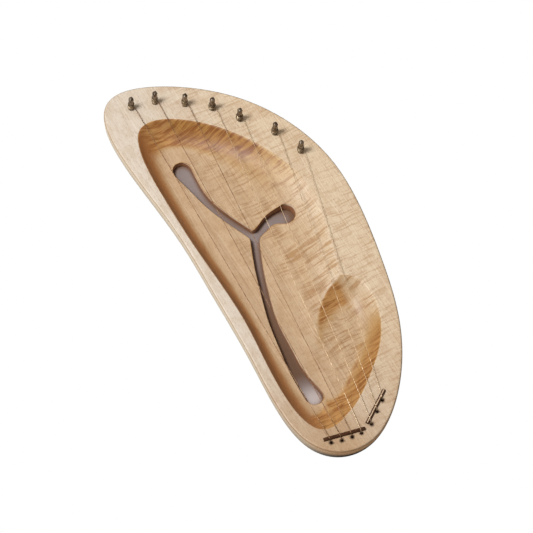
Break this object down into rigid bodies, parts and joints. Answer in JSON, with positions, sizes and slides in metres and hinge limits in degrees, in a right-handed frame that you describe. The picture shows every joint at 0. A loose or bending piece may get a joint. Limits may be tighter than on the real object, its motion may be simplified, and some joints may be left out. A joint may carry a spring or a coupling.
{
  "type": "children's lyre",
  "caption": "Small bean-shaped lyre carved from one piece of figured maple, with a Y-shaped sound slot, zither tuning pins, fanned wire strings and low rosewood bridges.",
  "frame": {"origin": "middle of the body's outline, on the flat back face", "axes": "+Z leaves the front face, +Y runs along the grain towards the tuning pins, +X points to the curved treble side"},
  "size_m": [0.1794, 0.4408, 0.04],
  "materials": {
    "maple": "satin oiled, figured",
    "rosewood": "polished",
    "nickel_steel": "worn nickel",
    "music_wire": "bright drawn wire",
    "brass": "turned"
  },
  "bodies": {
    "lyre_body": {"body": "maple", "bridge_bass": "rosewood", "bridge_treble": "rosewood", "string_1": "music_wire", "string_2": "music_wire", "string_3": "music_wire", "string_4": "music_wire", "string_5": "music_wire", "string_6": "music_wire", "string_7": "music_wire", "ball_end_1": "brass", "ball_end_2": "brass", "ball_end_3": "brass", "ball_end_4": "brass", "ball_end_5": "brass", "ball_end_6": "brass", "ball_end_7": "brass"},
    "pin_1": {"tuning_pin_1": "nickel_steel", "string_coil_1": "music_wire"},
    "pin_2": {"tuning_pin_2": "nickel_steel", "string_coil_2": "music_wire"},
    "pin_3": {"tuning_pin_3": "nickel_steel", "string_coil_3": "music_wire"},
    "pin_4": {"tuning_pin_4": "nickel_steel", "string_coil_4": "music_wire"},
    "pin_5": {"tuning_pin_5": "nickel_steel", "string_coil_5": "music_wire"},
    "pin_6": {"tuning_pin_6": "nickel_steel", "string_coil_6": "music_wire"},
    "pin_7": {"tuning_pin_7": "nickel_steel", "string_coil_7": "music_wire"}
  },
  "joints": [
    {"name": "pin_turn_1", "type": "hinge", "parent": "lyre_body", "child": "pin_1", "pos_m": [-0.05563, 0.19912, 0.022], "axis": [0, 0, 1], "range_deg": [-720, 45]},
    {"name": "pin_turn_2", "type": "hinge", "parent": "lyre_body", "child": "pin_2", "pos_m": [-0.03212, 0.19462, 0.022], "axis": [0, 0, 1], "range_deg": [-720, 45]},
    {"name": "pin_turn_3", "type": "hinge", "parent": "lyre_body", "child": "pin_3", "pos_m": [-0.0076, 0.17914, 0.022], "axis": [0, 0, 1], "range_deg": [-720, 45]},
    {"name": "pin_turn_4", "type": "hinge", "parent": "lyre_body", "child": "pin_4", "pos_m": [0.01391, 0.16315, 0.022], "axis": [0, 0, 1], "range_deg": [-720, 45]},
    {"name": "pin_turn_5", "type": "hinge", "parent": "lyre_body", "child": "pin_5", "pos_m": [0.03142, 0.14017, 0.022], "axis": [0, 0, 1], "range_deg": [-720, 45]},
    {"name": "pin_turn_6", "type": "hinge", "parent": "lyre_body", "child": "pin_6", "pos_m": [0.05393, 0.1107, 0.022], "axis": [0, 0, 1], "range_deg": [-720, 45]},
    {"name": "pin_turn_7", "type": "hinge", "parent": "lyre_body", "child": "pin_7", "pos_m": [0.06594, 0.08123, 0.022], "axis": [0, 0, 1], "range_deg": [-720, 45]}
  ]
}
